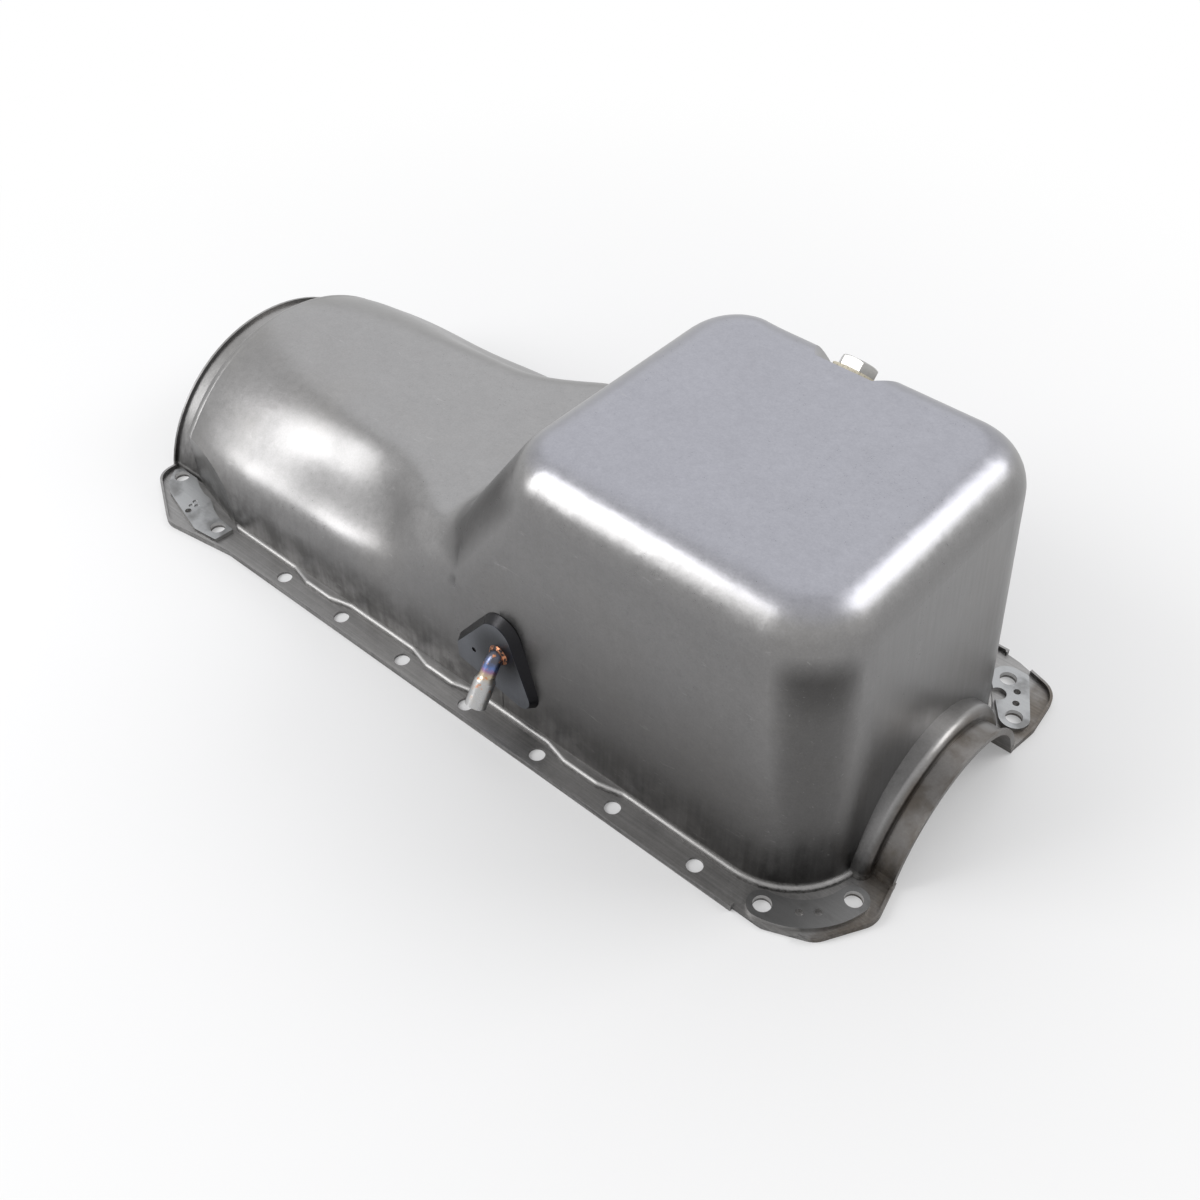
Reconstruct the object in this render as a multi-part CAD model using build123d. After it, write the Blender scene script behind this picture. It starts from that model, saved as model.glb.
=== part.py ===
from build123d import *
import os
from math import cos, radians, sin, sqrt, tan

# Engine oil pan, drawn from one steel sheet, with its corner plates, drain plug and dipstick tube.
# It stands upside down on its gasket rails, as it lies on a bench. All sizes are in millimetres.
# X runs along the engine, from the front arch (-X) to the deep sump at the rear (+X).
# Z = 0 is the gasket plane, and the origin is midway between the middle pair of rail bolts.

# Sheet and rails
WALL = 1.5
RAIL_HALF_WIDTH = 120.0
RAIL_LIP_HEIGHT = 4.0
BOLT_ROW_Y = 111.0
RAIL_BOLT_X = (-217.0, -153.5, -102.5, -51.0, 0.0, 53.5, 106.5, 160.5)
RAIL_HOLE_D = 9.0
CORNER_HOLE_D = 9.6
FRONT_BOLT = (-274.0, 95.0)
NEAR_REAR_BOLTS = ((200.0, -108.5), (232.0, -77.25))
FAR_REAR_BOLTS = ((215.5, 100.0), (232.0, 77.25))
NEAR_LIP_GAP = (189.5, 223.0)
FAR_LIP_GAP = (205.0, 222.0)

# Foot step of the walls, waved between pairs of bolts
FOOT_HALF_WIDTH = 103.5
FOOT_HEIGHT = 4.5
FOOT_WAVE = 3.8
FOOT_WAVE_RUN = 15.0
FOOT_MARGIN = 2.5
FOOT_EDGE_R = 2.5

# Deep rear sump
SUMP_HEIGHT = 175.0
SUMP_REAR_X = 222.0
SUMP_REAR_DRAFT = 4.6
SUMP_TOP_FRONT_X = 19.0
SUMP_FRONT_SLOPE = 34.5
SUMP_BASE_CORNER_R = 46.0
SUMP_TOP_CORNER_R = 36.0
SUMP_EDGE_R = 26.0
SADDLE_BLEND_R = 16.0

# Side walls, shared by the trough and the sump
SIDE_HALF_WIDTH = 101.0
SIDE_DRAFT = 2.1

# Shallow front trough
TROUGH_RADIUS = 103.5
CRANK_AXIS_Z = -17.0
TROUGH_FRONT_X = -270.0
SADDLE_HEIGHT = 90.0
TROUGH_PROUD = 0.2
# Along the trough: x, ridge y, crown z, flank z, ridge radius, flank radius
TROUGH_STATIONS = (
    (-209.0, 46.0, 86.0, 40.0, 60.0, 38.0),
    (-156.0, 49.5, 85.5, 42.5, 36.0, 35.0),
    (-103.0, 61.0, 87.0, 57.0, 28.0, 28.0),
    (-50.0, 88.0, SADDLE_HEIGHT, 79.5, 16.0, 16.0),
)
HOLLOW_X = -138.0
HOLLOW_Y = 71.0
HOLLOW_Z = 69.5
HOLLOW_TILT = 40.0
HOLLOW_DEPTH = 3.0
HOLLOW_R = 45.0
HOLLOW_BOW_R = 90.0
HOLLOW_RIM_R = 20.0
POCKET_START_X = -212.0
POCKET_HALF_WIDTH = 87.0
NOSE_LENGTH = 8.0
NOSE_R = 7.0

# Seal arches at the two ends
FRONT_ARCH_R = 91.0
FRONT_ARCH_X = -289.0
REAR_ARCH_R = 59.5
REAR_ARCH_X = 242.0
REAR_ARCH_AXIS_Z = -12.0
REAR_BEAD_R = 66.7
REAR_BEAD_X = 230.0
REAR_BEAD_EDGE_R = 5.0
ARCH_LIP = 2.0

# Corner plates, and the small tooling holes in them
PLATE_THICKNESS = 2.5
TOOLING_HOLE_D = 4.0
FRONT_TOOLING_HOLE = (-243.6, 113.2)
NEAR_TOOLING_HOLES = ((216.4, -100.8), (223.4, -94.7))
FAR_TOOLING_HOLES = ((224.2, 94.3), (227.9, 86.4))
PEEN_D = 3.2
PEEN_DEPTH = 0.8
PEEN_MARKS = ((-247.5, 105.0), (-243.4, 106.8), (-246.2, 109.0))

# Drain plug, gasket and weld nut on the sloping seat
PLUG_X = 100.0
SEAT_DEPTH = 6.0
SEAT_LENGTH = 34.0
SEAT_END_SLOPE = 50.0
PLUG_SHANK_D = 12.7
PLUG_SHANK_LENGTH = 14.0
PLUG_HEX_AF = 19.0
PLUG_HEX_HEIGHT = 6.0
PLUG_CLEARANCE = 0.05
SHELL_BORE_CLEARANCE = 0.3
GASKET_OUTER_D = 25.4
GASKET_THICKNESS = 2.2
NUT_OUTER_D = 24.0
NUT_THICKNESS = 8.0
NUT_HOLE_CHAMFER = 0.8

# Dipstick tube in its raised pad
PAD_PROUD = 3.5
PAD_SIDE_SLOPE = 30.0
PAD_DIMPLE = (3.5, 42.5)
PAD_DIMPLE_D = 3.0
PAD_DIMPLE_DEPTH = 0.8
TUBE_X = 22.0
TUBE_Z = 51.0
TUBE_D = 9.0
TUBE_BORE_D = 7.0
TUBE_CLEARANCE = 0.1
SOCKET_D = 11.8
SOCKET_BORE_D = 9.6
SOCKET_LENGTH = 15.0
SOCKET_NECK = 3.0
TUBE_ELBOW_Y = 107.8
TUBE_STRAIGHT = 28.0
TUBE_LEAN = 34.0
TUBE_BEND_R = 5.5
TUBE_INSIDE = 6.0
BRAZE_D = 12.6
BRAZE_TOP_D = 10.4
BRAZE_HEIGHT = 1.6

# Depth that cutting tools reach past the gasket plane
BELOW = 30.0


def extrude_up(face, bottom, top):
    """Raise a face drawn on the gasket plane between two heights."""
    return extrude(Pos(0, 0, bottom) * face, top - bottom, dir=(0, 0, 1))


def rounded_box(x0, x1, half_width, corner_r):
    """A rectangle in plan, symmetric about the crank line, with round corners."""
    shape = RectangleRounded(x1 - x0, 2 * half_width, corner_r)
    return Pos((x0 + x1) / 2, 0, 0) * shape


def side_wall_y(z):
    """How far the drafted side wall stands from the crank line at one height."""
    return SIDE_HALF_WIDTH - z * tan(radians(SIDE_DRAFT))


def trough_section(x, ridge, flank, ridge_r, flank_r, inset):
    """Cross-section of the trough: flat crown, sloping flanks and drafted walls."""
    base = CRANK_AXIS_Z - 10
    base_y = flank[0] + (flank[1] - base) * tan(radians(SIDE_DRAFT))
    right = [(base_y, base), flank, ridge]
    left = [(-y, z) for y, z in reversed(right)]
    outline = Polygon(*right, *left, align=None)
    if inset:
        outline = offset(outline, -inset, kind=Kind.INTERSECTION)
    flanks = outline.vertices().group_by(Axis.Y)[1]
    outline = fillet(flanks, flank_r - inset)
    ridges = outline.vertices().group_by(Axis.Y)[-1]
    outline = fillet(ridges, ridge_r - inset)
    return Plane(origin=(x, 0, 0), x_dir=(0, 1, 0), z_dir=(1, 0, 0)) * outline


def dome_section(x, inset):
    """Cross-section of the front dome: a half-round that stands on straight walls."""
    corner = TROUGH_RADIUS * tan(radians(22.5))
    radius = TROUGH_RADIUS - 2
    ridge = (corner, CRANK_AXIS_Z + TROUGH_RADIUS)
    flank = (TROUGH_RADIUS, CRANK_AXIS_Z + corner)
    return trough_section(x, ridge, flank, radius, radius, inset)


def trough(inset):
    """Front trough: a half-round dome whose flanks square up as it nears the sump."""
    sections = [dome_section(TROUGH_FRONT_X + NOSE_LENGTH, inset)]
    for x, ridge_y, crown_z, flank_z, ridge_r, flank_r in TROUGH_STATIONS:
        ridge = (ridge_y, crown_z)
        flank = (side_wall_y(flank_z) + TROUGH_PROUD, flank_z)
        sections.append(trough_section(x, ridge, flank, ridge_r, flank_r, inset))
    saddle_length = SUMP_TOP_FRONT_X - TROUGH_STATIONS[-1][0]
    return loft(sections) + extrude(sections[-1], saddle_length, dir=(1, 0, 0))


def nose(inset):
    """The rounded front end of the trough, between the corner pockets."""
    section = dome_section(TROUGH_FRONT_X + inset, inset)
    block = extrude(section, NOSE_LENGTH - inset, dir=(1, 0, 0)) - corner_pockets(inset)
    rim = block.faces().sort_by(Axis.X)[0].edges()
    return fillet(rim.filter_by(lambda e: e.center().Z > CRANK_AXIS_Z), NOSE_R - inset)


def sump(inset):
    """Deep rear sump: drafted walls, a raked front and generously rounded edges."""
    lean = SUMP_HEIGHT * tan(radians(SIDE_DRAFT))
    rear_lean = SUMP_HEIGHT * tan(radians(SUMP_REAR_DRAFT))
    front_inset = inset / cos(radians(SUMP_FRONT_SLOPE))
    top = SUMP_HEIGHT - inset
    share = top / SUMP_HEIGHT
    front_run = SUMP_HEIGHT * tan(radians(SUMP_FRONT_SLOPE))
    base_plan = rounded_box(
        SUMP_TOP_FRONT_X - front_run + front_inset,
        SUMP_REAR_X - inset,
        SIDE_HALF_WIDTH - inset,
        SUMP_BASE_CORNER_R - inset,
    )
    top_plan = rounded_box(
        SUMP_TOP_FRONT_X - front_run * (1 - share) + front_inset,
        SUMP_REAR_X - inset - rear_lean * share,
        SIDE_HALF_WIDTH - inset - lean * share,
        SUMP_TOP_CORNER_R - inset,
    )
    block = loft([base_plan, Pos(0, 0, top) * top_plan])
    rim = block.faces().sort_by(Axis.Z)[-1].edges()
    return fillet(rim, SUMP_EDGE_R - inset)


def flank_hollow(side, inset):
    """The barrel that presses one long shallow hollow into a flank of the trough."""
    radius = HOLLOW_R + inset
    bow = HOLLOW_BOW_R + inset
    half = sqrt(bow**2 - (bow - radius) ** 2)
    arc = ThreePointArc((-half, 0), (0, radius), (half, 0))
    barrel = revolve(make_face([arc, Line((half, 0), (-half, 0))]), Axis.X)
    rise = HOLLOW_R - HOLLOW_DEPTH
    y = HOLLOW_Y + rise * sin(radians(HOLLOW_TILT))
    z = HOLLOW_Z + rise * cos(radians(HOLLOW_TILT))
    return Pos(HOLLOW_X, side * y, z) * barrel


def hollowed(front_trough, inset):
    """The trough with a shallow hollow in each flank, its rim rounded over."""
    for side in (-1, 1):
        front_trough -= flank_hollow(side, inset)
        floor = (HOLLOW_X, side * HOLLOW_Y, HOLLOW_Z)
        hollow = front_trough.faces().sort_by_distance(floor)[0]
        front_trough = fillet(hollow.outer_wire().edges(), HOLLOW_RIM_R - inset)
    return front_trough


def corner_pockets(inset):
    """The room left beside the front arch for the two corner bolts."""
    front = FRONT_ARCH_X - 20
    far_out = RAIL_HALF_WIDTH + 20
    wall_y = SIDE_HALF_WIDTH - inset
    pocket_y = POCKET_HALF_WIDTH - inset
    outline = Polygon(
        (POCKET_START_X, wall_y),
        (POCKET_START_X, far_out),
        (front, far_out),
        (front, pocket_y),
        (TROUGH_FRONT_X, pocket_y),
        align=None,
    )
    pocket = extrude_up(outline, -BELOW, SUMP_HEIGHT)
    return pocket + mirror(pocket, Plane.XZ)


def seat_frame():
    """Centre of the plug seat on the outer skin, and the direction the plug points."""
    lean = SUMP_HEIGHT * tan(radians(SIDE_DRAFT))
    edge_y = SIDE_HALF_WIDTH - lean - SUMP_EDGE_R
    edge_z = SUMP_HEIGHT - SUMP_EDGE_R
    reach = (SUMP_EDGE_R - SEAT_DEPTH) * sqrt(0.5)
    return Plane(
        origin=(PLUG_X, edge_y + reach, edge_z + reach),
        x_dir=(1, 0, 0),
        z_dir=(0, 1, 1),
    )


def plug_seat(inset):
    """What is pressed away to make the flat sloping seat of the drain plug."""
    seat = seat_frame().offset(-inset)
    floor = Rectangle(SEAT_LENGTH + 2 * inset, 3 * SUMP_EDGE_R)
    return extrude(seat * floor, 2 * SUMP_EDGE_R, taper=-SEAT_END_SLOPE)


def drawn_body(inset):
    """Trough and sump blended into one drawn form, without rails."""
    front_trough = trough(inset) - corner_pockets(inset) + nose(inset)
    front_trough = hollowed(front_trough, inset)
    body = front_trough + sump(inset)
    front_foot = SUMP_TOP_FRONT_X - (SUMP_HEIGHT - SADDLE_HEIGHT) * tan(radians(SUMP_FRONT_SLOPE))
    creases = body.edges().filter_by(
        lambda e: -1 < e.center().X - front_foot < 12 and e.center().Z > SADDLE_HEIGHT - 20
    )
    body = fillet(creases, SADDLE_BLEND_R + inset)
    return body - plug_seat(inset)


def half_round(x0, x1, radius, axis_z):
    """A cylinder along the engine, centred on the crank line."""
    length = x1 - x0
    return Pos((x0 + x1) / 2, 0, axis_z) * Rot(0, 90, 0) * Cylinder(radius, length)


def arches(inset):
    """The half-round channels that hold the end seals, with the bead of the rear one."""
    far = BELOW if inset else 0
    front = half_round(FRONT_ARCH_X - far, TROUGH_FRONT_X + 12, FRONT_ARCH_R - inset, CRANK_AXIS_Z)
    rear_start = SUMP_REAR_X - BELOW
    rear = half_round(rear_start, REAR_ARCH_X + far, REAR_ARCH_R - inset, REAR_ARCH_AXIS_Z)
    bead = half_round(rear_start, REAR_BEAD_X - inset, REAR_BEAD_R - inset, REAR_ARCH_AXIS_Z)
    crest = bead.faces().sort_by(Axis.X)[-1].edges()
    bead = fillet(crest, REAR_BEAD_EDGE_R - inset)
    both = front + rear + bead
    if not inset:
        front_lip_r = FRONT_ARCH_R + ARCH_LIP
        rear_lip_r = REAR_ARCH_R + ARCH_LIP
        both += half_round(FRONT_ARCH_X, FRONT_ARCH_X + WALL, front_lip_r, CRANK_AXIS_Z)
        both += half_round(REAR_ARCH_X - WALL, REAR_ARCH_X, rear_lip_r, REAR_ARCH_AXIS_Z)
    return both


def foot_outline(inset):
    """The foot of the walls, which swings out between pairs of bolts."""
    side = FOOT_HALF_WIDTH - inset
    out = side + FOOT_WAVE
    rear = SUMP_REAR_X + FOOT_MARGIN - inset
    points = [(POCKET_START_X, side)]
    for start, end in zip(RAIL_BOLT_X[1::2], RAIL_BOLT_X[2::2]):
        points += [
            (start, side),
            (start + FOOT_WAVE_RUN, out),
            (end - FOOT_WAVE_RUN, out),
            (end, side),
        ]
    points.append((rear, side))
    other_side = [(x, -y) for x, y in reversed(points)]
    outline = Polygon(*points, *other_side, align=None)
    corners = outline.vertices().sort_by(Axis.X)
    outline = fillet(corners[-2:], SUMP_BASE_CORNER_R + FOOT_MARGIN - inset)
    bends = outline.vertices().filter_by(lambda v: v.X < RAIL_BOLT_X[-1] + 1)
    return fillet(bends, 5.0)


def foot(inset):
    """A low rounded bead all round the foot of the walls."""
    base = -BELOW if inset else 0
    step = extrude_up(foot_outline(inset), base, FOOT_HEIGHT - inset)
    return fillet(step.faces().sort_by(Axis.Z)[-1].edges(), FOOT_EDGE_R - inset)


def disc(x, y, radius):
    """A round face in plan."""
    return Pos(x, y) * Circle(radius)


def hull(*discs):
    """The tight outline round some discs, as a pressing tool would be cut."""
    edges = [edge for one in discs for edge in one.edges()]
    return make_hull(edges)


def flange_plan():
    """The gasket flange in plan: straight side rails with an ear at each corner."""
    length = REAR_ARCH_X - FRONT_ARCH_X - 1.5
    plan = Pos(REAR_ARCH_X + 0.5 - length / 2, 0) * Rectangle(length, 2 * 60)
    front_x, front_y = FRONT_BOLT
    for side in (-1, 1):
        lip_end = NEAR_LIP_GAP[0] if side < 0 else FAR_LIP_GAP[0]
        rail_length = lip_end - POCKET_START_X
        rail_mid = (lip_end + POCKET_START_X) / 2
        plan += Pos(rail_mid, side * RAIL_HALF_WIDTH / 2) * Rectangle(rail_length, RAIL_HALF_WIDTH)
        plan += hull(
            disc(front_x, side * front_y, 14.0),
            disc(-243.0, side * 112.0, 15.0),
            disc(-196.0, side * 100.0, 20.0),
            disc(-274.0, side * 55.0, 14.0),
            disc(-200.0, side * 50.0, 14.0),
        )
    near_a, near_b = NEAR_REAR_BOLTS
    plan += hull(
        disc(180, -108.7, 9.5),
        disc(204.5, -108.7, 9.5),
        disc(221.5, -97.0, 13.5),
        disc(near_b[0], near_b[1], 14.5),
        disc(236.0, -58.0, 6.5),
        disc(190, -60, 5),
    )
    far_a, far_b = FAR_REAR_BOLTS
    plan += hull(
        disc(195, 109, 11),
        disc(211.5, 107.0, 10.5),
        disc(227.0, 97.0, 15.5),
        disc(far_b[0], far_b[1], 12.5),
        disc(236.0, 60.0, 6.5),
        disc(190, 60, 5),
    )
    return plan


def rails():
    """Flat gasket flange with its stiffening lip turned away from the engine."""
    plan = flange_plan()
    flange = extrude_up(plan, 0, WALL)
    lip = extrude_up(plan - offset(plan, -WALL), 0, RAIL_LIP_HEIGHT)
    for side, (start, end) in ((-1, NEAR_LIP_GAP), (1, FAR_LIP_GAP)):
        gap = Box(end - start, RAIL_HALF_WIDTH, BELOW, align=(Align.MIN, Align.CENTER, Align.MIN))
        lip -= Pos(start, side * RAIL_HALF_WIDTH, WALL) * gap
    return flange + lip


def pad_outline():
    """Plan of the raised pad on the side wall, drawn on a plane facing outwards."""
    return hull(
        disc(20.3, 60.2, 14.0),
        disc(35.5, 28.2, 10.6),
        disc(-9.2, 40.5, 3.0),
        disc(-7.0, 31.0, 5.0),
    )


def dipstick_pad(inset):
    """The raised pad that carries the dipstick tube."""
    wall_y = SIDE_HALF_WIDTH - 2
    rise = PAD_PROUD + 2 - inset
    outline = offset(pad_outline(), -inset) if inset else pad_outline()
    outline = Plane(origin=(0, -wall_y, 0), x_dir=(1, 0, 0), z_dir=(0, -1, 0)) * outline
    return extrude(outline, rise, taper=PAD_SIDE_SLOPE) + extrude(outline, -8)


def corner_bolts(side):
    """The bolts of the front ear and of the rear ear on one side."""
    front_x, front_y = FRONT_BOLT
    rear = NEAR_REAR_BOLTS if side < 0 else FAR_REAR_BOLTS
    return [(front_x, side * front_y), (RAIL_BOLT_X[0], side * BOLT_ROW_Y), *rear]


def flange_holes():
    """Every bolt hole through the flange and its corner plates."""
    cutters = []
    for side in (-1, 1):
        for x in RAIL_BOLT_X[1:]:
            cutters.append(Pos(x, side * BOLT_ROW_Y, 0) * Cylinder(RAIL_HOLE_D / 2, BELOW))
        for x, y in corner_bolts(side):
            cutters.append(Pos(x, y, 0) * Cylinder(CORNER_HOLE_D / 2, BELOW))
    return cutters


def tube_path():
    """The centre line of the dipstick tube, from inside the wall to its open socket."""
    lean = radians(TUBE_LEAN)
    inner_y = -(pad_face_y() - WALL - TUBE_INSIDE)
    end_y = -(TUBE_ELBOW_Y + TUBE_STRAIGHT * sin(lean))
    end_z = TUBE_Z - TUBE_STRAIGHT * cos(lean)
    points = [
        (TUBE_X, inner_y, TUBE_Z),
        (TUBE_X, -TUBE_ELBOW_Y, TUBE_Z),
        (TUBE_X, end_y, end_z),
    ]
    return FilletPolyline(*points, radius=TUBE_BEND_R)


def pad_face_y():
    """How far the outer face of the dipstick pad stands from the crank line."""
    return SIDE_HALF_WIDTH + PAD_PROUD


def pan_shell():
    """The one-piece drawn pan."""
    outside = drawn_body(0) + foot(0) + rails() + arches(0) + dipstick_pad(0)
    inside = drawn_body(WALL) + foot(WALL) + arches(WALL) + dipstick_pad(WALL)
    shell = outside - inside
    engine_side = Box(700, 400, 300, align=(Align.CENTER, Align.CENTER, Align.MAX))
    shell -= engine_side
    shell -= flange_holes()
    shell -= seat_frame() * Cylinder(PLUG_SHANK_D / 2 + SHELL_BORE_CLEARANCE, BELOW)
    tube_hole = Cylinder(TUBE_D / 2 + TUBE_CLEARANCE, BELOW)
    shell -= Pos(TUBE_X, -SIDE_HALF_WIDTH, TUBE_Z) * Rot(90, 0, 0) * tube_hole
    dimple_x, dimple_z = PAD_DIMPLE
    dimple = Cylinder(PAD_DIMPLE_D / 2, 2 * PAD_DIMPLE_DEPTH)
    return shell - Pos(dimple_x, -pad_face_y(), dimple_z) * Rot(90, 0, 0) * dimple


def doubler(outline, tooling_holes):
    """A flat plate laid on the flange, with its bolt holes and small tooling holes."""
    plate = extrude_up(outline, WALL, WALL + PLATE_THICKNESS)
    plate -= flange_holes()
    for x, y in tooling_holes:
        plate -= Pos(x, y, 0) * Cylinder(TOOLING_HOLE_D / 2, BELOW)
    return plate


def front_plate(side):
    """Doubler plate under the two front bolts of one side, with a wavy inner edge."""
    points = [
        (-283, 94),
        (-276, 104),
        (-266.4, 110),
        (-227, 121),
        (-209.4, 119),
        (-208.4, 106),
        (-223, 105),
        (-232, 102),
        (-242, 97),
        (-249, 96.5),
        (-257, 94),
        (-265, 90),
        (-280, 90),
    ]
    outline = Polygon(*[(x, side * y) for x, y in points], align=None)
    hole_x, hole_y = FRONT_TOOLING_HOLE
    plate = doubler(outline, [(hole_x, side * hole_y)])
    for x, y in PEEN_MARKS:
        plate -= Pos(x, side * y, WALL + PLATE_THICKNESS) * Cylinder(PEEN_D / 2, 2 * PEEN_DEPTH)
    return plate


def near_rear_plate():
    """Crescent doubler round the two near rear bolts."""
    (ax, ay), (bx, by) = NEAR_REAR_BOLTS
    spine = ThreePointArc((ax, ay), (218.0, -100.5), (bx, by))
    return doubler(SlotArc(spine, 16.0), NEAR_TOOLING_HOLES)


def far_rear_plate():
    """Doubler round the two far rear bolts, with a half-moon notch."""
    (ax, ay), (bx, by) = FAR_REAR_BOLTS
    outline = hull(disc(ax, ay, 9.5), disc(bx, by, 8.5), disc(221.5, 106.5, 3.0))
    outline -= disc(217.0, 86.5, 4.5)
    return doubler(outline, FAR_TOOLING_HOLES)


def drain_nut():
    """Round weld nut inside the sump, behind the plug seat."""
    nut = Cylinder(NUT_OUTER_D / 2, NUT_THICKNESS, align=(Align.CENTER, Align.CENTER, Align.MAX))
    nut = chamfer(nut.edges().sort_by(Axis.Z)[0], 1.0)
    nut -= Cylinder(PLUG_SHANK_D / 2 + PLUG_CLEARANCE, 3 * NUT_THICKNESS)
    return seat_frame().offset(-WALL) * nut


def drain_gasket():
    """Fibre washer between the plug head and its seat."""
    ring = Cylinder(GASKET_OUTER_D / 2, GASKET_THICKNESS, align=(Align.CENTER, Align.CENTER, Align.MIN))
    ring -= Cylinder(PLUG_SHANK_D / 2 + PLUG_CLEARANCE, 3 * GASKET_THICKNESS)
    return seat_frame() * ring


def drain_plug():
    """Hexagon-headed drain plug."""
    under_head = GASKET_THICKNESS
    head = extrude(RegularPolygon(PLUG_HEX_AF / 2, 6, major_radius=False), PLUG_HEX_HEIGHT)
    crown = Cone(
        PLUG_HEX_AF / 2 + PLUG_HEX_HEIGHT * 1.7,
        PLUG_HEX_AF / 2 - 0.6,
        PLUG_HEX_HEIGHT,
        align=(Align.CENTER, Align.CENTER, Align.MIN),
    )
    head = head & crown
    shank = Cylinder(PLUG_SHANK_D / 2, PLUG_SHANK_LENGTH, align=(Align.CENTER, Align.CENTER, Align.MAX))
    shank = chamfer(shank.edges().sort_by(Axis.Z)[0], 1.0)
    return seat_frame().offset(under_head) * (head + shank)


def tube_bar(diameter, socket_diameter):
    """A solid bar along the dipstick tube, swollen at its socket end."""
    path = tube_path()
    bar = sweep(Plane(origin=path @ 0, z_dir=path % 0) * Circle(diameter / 2), path=path)
    end = Plane(origin=path @ 1, z_dir=-(path % 1))
    socket = Cylinder(socket_diameter / 2, SOCKET_LENGTH, align=(Align.CENTER, Align.CENTER, Align.MIN))
    neck = Cone(
        socket_diameter / 2, diameter / 2, SOCKET_NECK, align=(Align.CENTER, Align.CENTER, Align.MIN)
    )
    return bar + end * socket + end * Pos(0, 0, SOCKET_LENGTH) * neck


def dipstick_tube():
    """The bent tube with its swaged socket."""
    return tube_bar(TUBE_D, SOCKET_D) - tube_bar(TUBE_BORE_D, SOCKET_BORE_D)


def dipstick_braze():
    """Ring of braze where the tube leaves its pad."""
    ring = Cone(BRAZE_D / 2, BRAZE_TOP_D / 2, BRAZE_HEIGHT, align=(Align.CENTER, Align.CENTER, Align.MIN))
    ring = Pos(TUBE_X, -pad_face_y(), TUBE_Z) * Rot(90, 0, 0) * ring
    return ring - tube_bar(TUBE_D, SOCKET_D)


PIECES = {
    "pan_shell": pan_shell,
    "corner_plate_front_near": lambda: front_plate(-1),
    "corner_plate_front_far": lambda: front_plate(1),
    "corner_plate_rear_near": near_rear_plate,
    "corner_plate_rear_far": far_rear_plate,
    "drain_nut": drain_nut,
    "drain_gasket": drain_gasket,
    "drain_plug": drain_plug,
    "dipstick_tube": dipstick_tube,
    "dipstick_braze": dipstick_braze,
}

os.makedirs("parts", exist_ok=True)
for name, make_piece in PIECES.items():
    export_step(make_piece(), f"parts/{name}.step")
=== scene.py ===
import math

import bmesh
import bpy
import numpy as np
from mathutils import Matrix, Vector
from mathutils.bvhtree import BVHTree
from mathutils.geometry import barycentric_transform


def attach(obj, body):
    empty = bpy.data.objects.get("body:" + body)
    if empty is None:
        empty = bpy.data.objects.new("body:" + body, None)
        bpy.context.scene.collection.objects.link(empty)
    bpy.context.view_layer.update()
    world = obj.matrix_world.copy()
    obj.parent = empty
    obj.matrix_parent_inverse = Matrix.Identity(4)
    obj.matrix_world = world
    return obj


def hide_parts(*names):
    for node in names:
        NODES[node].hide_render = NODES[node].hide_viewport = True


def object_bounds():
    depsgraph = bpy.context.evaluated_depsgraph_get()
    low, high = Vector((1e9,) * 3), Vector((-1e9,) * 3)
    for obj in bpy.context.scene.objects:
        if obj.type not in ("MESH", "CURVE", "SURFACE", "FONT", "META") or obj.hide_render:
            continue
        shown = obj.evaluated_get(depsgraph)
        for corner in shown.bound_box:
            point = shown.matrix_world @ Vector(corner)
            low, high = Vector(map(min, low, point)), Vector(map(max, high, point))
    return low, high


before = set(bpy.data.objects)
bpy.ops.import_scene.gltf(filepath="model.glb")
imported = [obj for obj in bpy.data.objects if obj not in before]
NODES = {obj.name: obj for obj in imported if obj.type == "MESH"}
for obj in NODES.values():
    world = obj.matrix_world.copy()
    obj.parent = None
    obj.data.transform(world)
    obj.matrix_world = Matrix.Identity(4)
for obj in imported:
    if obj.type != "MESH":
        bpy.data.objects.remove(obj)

bl_info = {
    "name": "Engine Oil Pan",
    "version": (1, 0, 0),
    "blender": (4, 5, 0),
    "location": "3D Viewport > Sidebar > Oil Pan",
    "description": "Finishes a drawn steel oil pan in bare metal and stands it in a studio",
    "category": "Object",
}

CAD_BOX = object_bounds()

WHITE = (1.0, 1.0, 1.0)

# Lengths are in metres. The part of the sheet that is redrawn: its ends, and how low it reaches
FAIRED_X = (-0.208, -0.014)
FAIRED_FLOOR = 0.012

# The grid that replaces it: rings along the trough, and points in each ring
FAIRED_RINGS = 98
FAIRED_RING_POINTS = 171

# How far outside the sheet the rays start that find its outer face
RAY_START = 0.3

# The two runs in which the flanks are redrawn: behind the dome, and the flare into the sump
DOME_X = (-0.199, -0.122)
FLARE_X = (-0.14, -0.042)

# How far from the middle plane a flank starts, and how much further out at the flare's end
FLANK_Y = 0.035
FLARE_WIDENING = 0.042

# How strongly the flare turns outwards where it ends; 0 would be straight along the trough
FLARE_END = 2.0

# Rounds of smoothing, and the share of the way that a point moves in each
FAIRING_ROUNDS = 3000
FAIRING_SHARE = 0.028
SOFTENING_ROUNDS = 12
KNEE_ROUNDS = 90
SOFTENING_SHARE = 0.2

# How much of the smoothing the saddle's flat crown is spared
CROWN_HOLD = 0.97

# How far from a place, and how closely facing the same way, a CAD normal still counts for it
NORMAL_REACH = 0.0006
SAME_CORNER = 0.5
SAME_FACE = 0.9

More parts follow.
